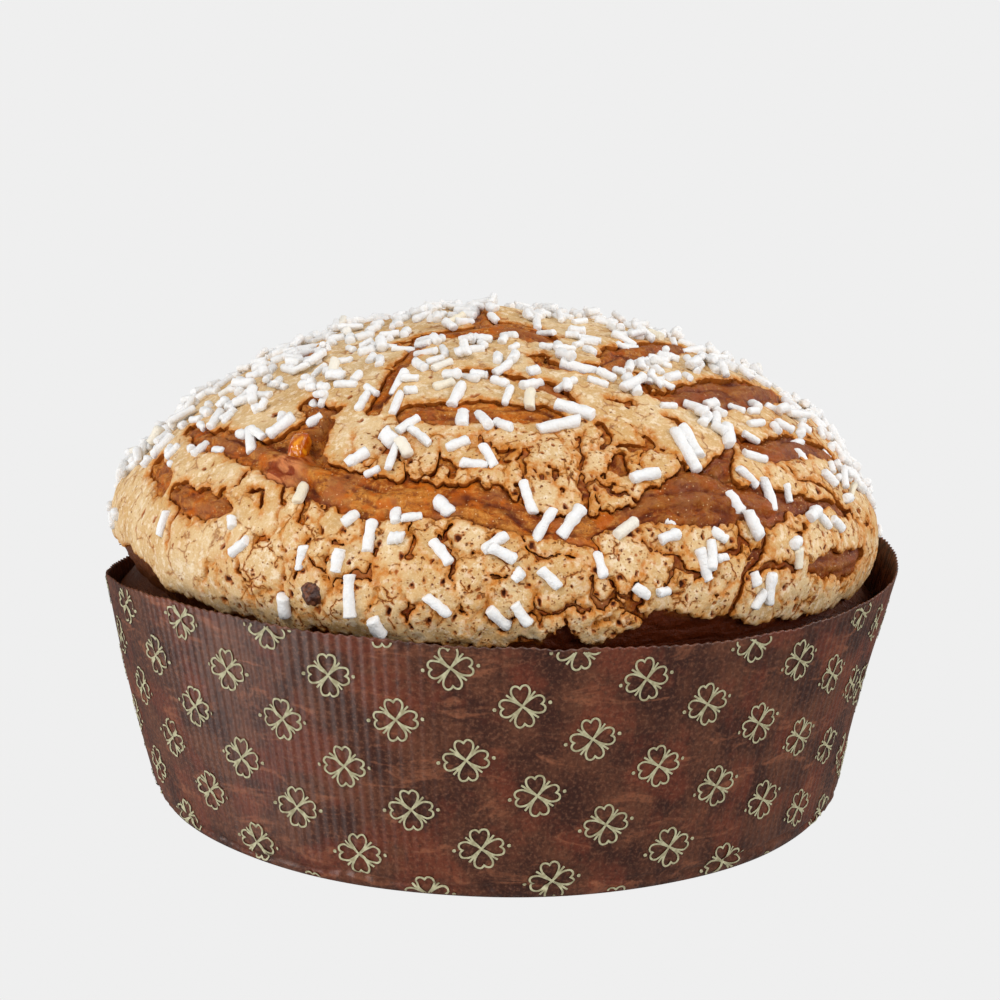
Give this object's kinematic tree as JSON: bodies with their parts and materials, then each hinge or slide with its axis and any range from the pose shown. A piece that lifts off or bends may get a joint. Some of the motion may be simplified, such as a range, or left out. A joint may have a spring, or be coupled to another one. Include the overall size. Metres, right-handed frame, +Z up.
{
  "type": "panettone",
  "caption": "Low domed sweet loaf with a cracked almond glaze and sugar rods, in its round fluted paper case.",
  "frame": {"origin": "centre of the case's foot, on the surface that it stands on", "axes": "+Z up along the axis of the case, -Y towards the front, +X to the right seen from the front"},
  "size_m": [0.219, 0.22, 0.1324],
  "materials": {
    "crust": "matte baked glaze over brown dough, with white sugar rods",
    "paper": "satin printed brown paper"
  },
  "bodies": {
    "root": {"loaf": "crust", "paper_case": "paper"}
  },
  "joints": []
}
